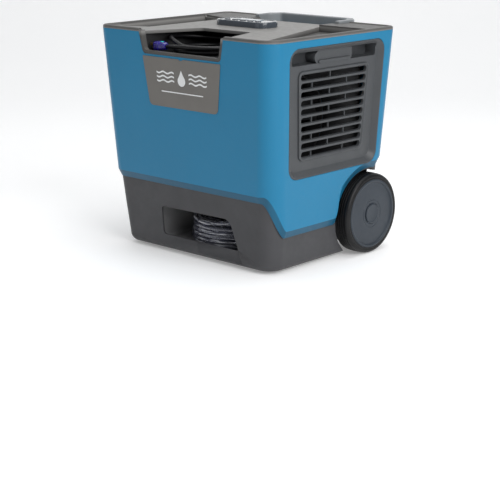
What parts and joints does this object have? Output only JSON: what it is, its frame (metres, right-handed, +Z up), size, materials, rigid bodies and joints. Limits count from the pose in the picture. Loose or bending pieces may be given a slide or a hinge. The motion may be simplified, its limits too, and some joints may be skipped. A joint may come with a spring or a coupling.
{
  "type": "dehumidifier",
  "caption": "Portable stackable refrigerant dehumidifier with tapered shell, side louvres, top cord bin, hose bay in the base, wheels and pull handle.",
  "frame": {"origin": "on the floor, midway across the machine and midway between the front of the rim and the back of the pull handle", "axes": "+X to the air outlet side, -Y to the front with the label plate, +Z up"},
  "size_m": [0.51, 0.4528, 0.5056],
  "materials": {
    "blue_shell": "satin moulded",
    "grey_base": "fine texture",
    "grey_deck": "fine texture",
    "grey_bezel": "satin",
    "dark_liner": "matte",
    "label": "satin film",
    "filter_media": "matte",
    "rubber": "matte",
    "pod_plastic": "gloss",
    "window": "gloss",
    "key": "satin",
    "hub_plastic": "satin",
    "grip_plastic": "satin",
    "steel": "brushed",
    "zinc": "galvanised",
    "black_paint": "gloss paint",
    "fins": "bare fins",
    "fan_metal": "bare",
    "copper": "bare copper",
    "white_plastic": "satin",
    "cord_jacket": "satin",
    "plug_plastic": "gloss translucent",
    "brass": "turned",
    "vinyl": "gloss clear"
  },
  "bodies": {
    "chassis": {"cover_shell": "blue_shell", "base_tray": "grey_base", "hose_bay_liner": "dark_liner", "top_deck": "grey_deck", "cord_bin": "dark_liner", "label_plate": "label", "outlet_bezel": "grey_bezel", "outlet_grille": "grey_bezel", "inlet_bezel": "grey_bezel", "foot_left": "rubber", "foot_right": "rubber", "control_pod": "pod_plastic", "display_window": "window", "axle_left": "steel", "axle_right": "steel", "handle_guide_left": "dark_liner", "handle_guide_right": "dark_liner", "evaporator_coil": "fins", "condenser_coil": "fins", "drain_pan": "dark_liner", "chassis_plate": "zinc", "compressor": "black_paint", "compressor_mount": "steel", "suction_pipe": "copper", "discharge_pipe": "copper", "filter_drier": "copper", "fan_shroud": "zinc", "fan_motor": "black_paint", "electrical_box": "zinc", "pump_reservoir": "white_plastic", "pump_head": "dark_liner", "pump_line": "vinyl", "cord_gland": "rubber", "power_cord_lead": "cord_jacket", "power_cord_coil": "cord_jacket", "power_cord_end": "cord_jacket", "power_plug": "plug_plastic", "hose_fitting": "brass", "drain_hose_lead": "vinyl", "drain_hose_coil": "vinyl", "drain_hose_end": "vinyl", "hose_connector": "brass"},
    "wheel_left": {"tire_left": "rubber", "wheel_hub_left": "hub_plastic", "hub_cap_left": "hub_plastic"},
    "wheel_right": {"tire_right": "rubber", "wheel_hub_right": "hub_plastic", "hub_cap_right": "hub_plastic"},
    "fan": {"fan_blade": "fan_metal"},
    "pull_handle": {"handle_grip": "grip_plastic", "handle_tube_left": "steel", "handle_tube_right": "steel"},
    "inlet_panel": {"inlet_grille": "grey_bezel", "air_filter": "filter_media"},
    "key_power": {"button_power": "key"},
    "key_mode": {"button_mode": "key"},
    "key_up": {"button_up": "key"},
    "key_down": {"button_down": "key"},
    "key_pump": {"button_pump": "key"},
    "float": {"pump_float": "white_plastic"}
  },
  "joints": [
    {"name": "wheel_left_spin", "type": "hinge", "parent": "chassis", "child": "wheel_left", "pos_m": [-0.231, 0.1164, 0.09], "axis": [1, 0, 0], "continuous": true},
    {"name": "wheel_right_spin", "type": "hinge", "parent": "chassis", "child": "wheel_right", "pos_m": [0.231, 0.1164, 0.09], "axis": [1, 0, 0], "continuous": true},
    {"name": "fan_spin", "type": "hinge", "parent": "chassis", "child": "fan", "pos_m": [0.112, -0.0096, 0.3], "axis": [1, 0, 0], "continuous": true},
    {"name": "handle_pull", "type": "slide", "parent": "chassis", "child": "pull_handle", "axis": [0, 0.0643, 0.9979], "range_m": [0, 0.29]},
    {"name": "inlet_panel_pull", "type": "slide", "parent": "chassis", "child": "inlet_panel", "axis": [-0.9991, 0, -0.0417], "range_m": [0, 0.08]},
    {"name": "power_press", "type": "slide", "parent": "chassis", "child": "key_power", "axis": [0, 0, -1], "range_m": [0, 0.0012], "stiffness_N_per_m": 400},
    {"name": "mode_press", "type": "slide", "parent": "chassis", "child": "key_mode", "axis": [0, 0, -1], "range_m": [0, 0.0012], "stiffness_N_per_m": 400},
    {"name": "up_press", "type": "slide", "parent": "chassis", "child": "key_up", "axis": [0, 0, -1], "range_m": [0, 0.0012], "stiffness_N_per_m": 400},
    {"name": "down_press", "type": "slide", "parent": "chassis", "child": "key_down", "axis": [0, 0, -1], "range_m": [0, 0.0012], "stiffness_N_per_m": 400},
    {"name": "pump_press", "type": "slide", "parent": "chassis", "child": "key_pump", "axis": [0, 0, -1], "range_m": [0, 0.0012], "stiffness_N_per_m": 400},
    {"name": "float_rise", "type": "slide", "parent": "chassis", "child": "float", "axis": [0, 0, 1], "range_m": [0, 0.02]}
  ]
}
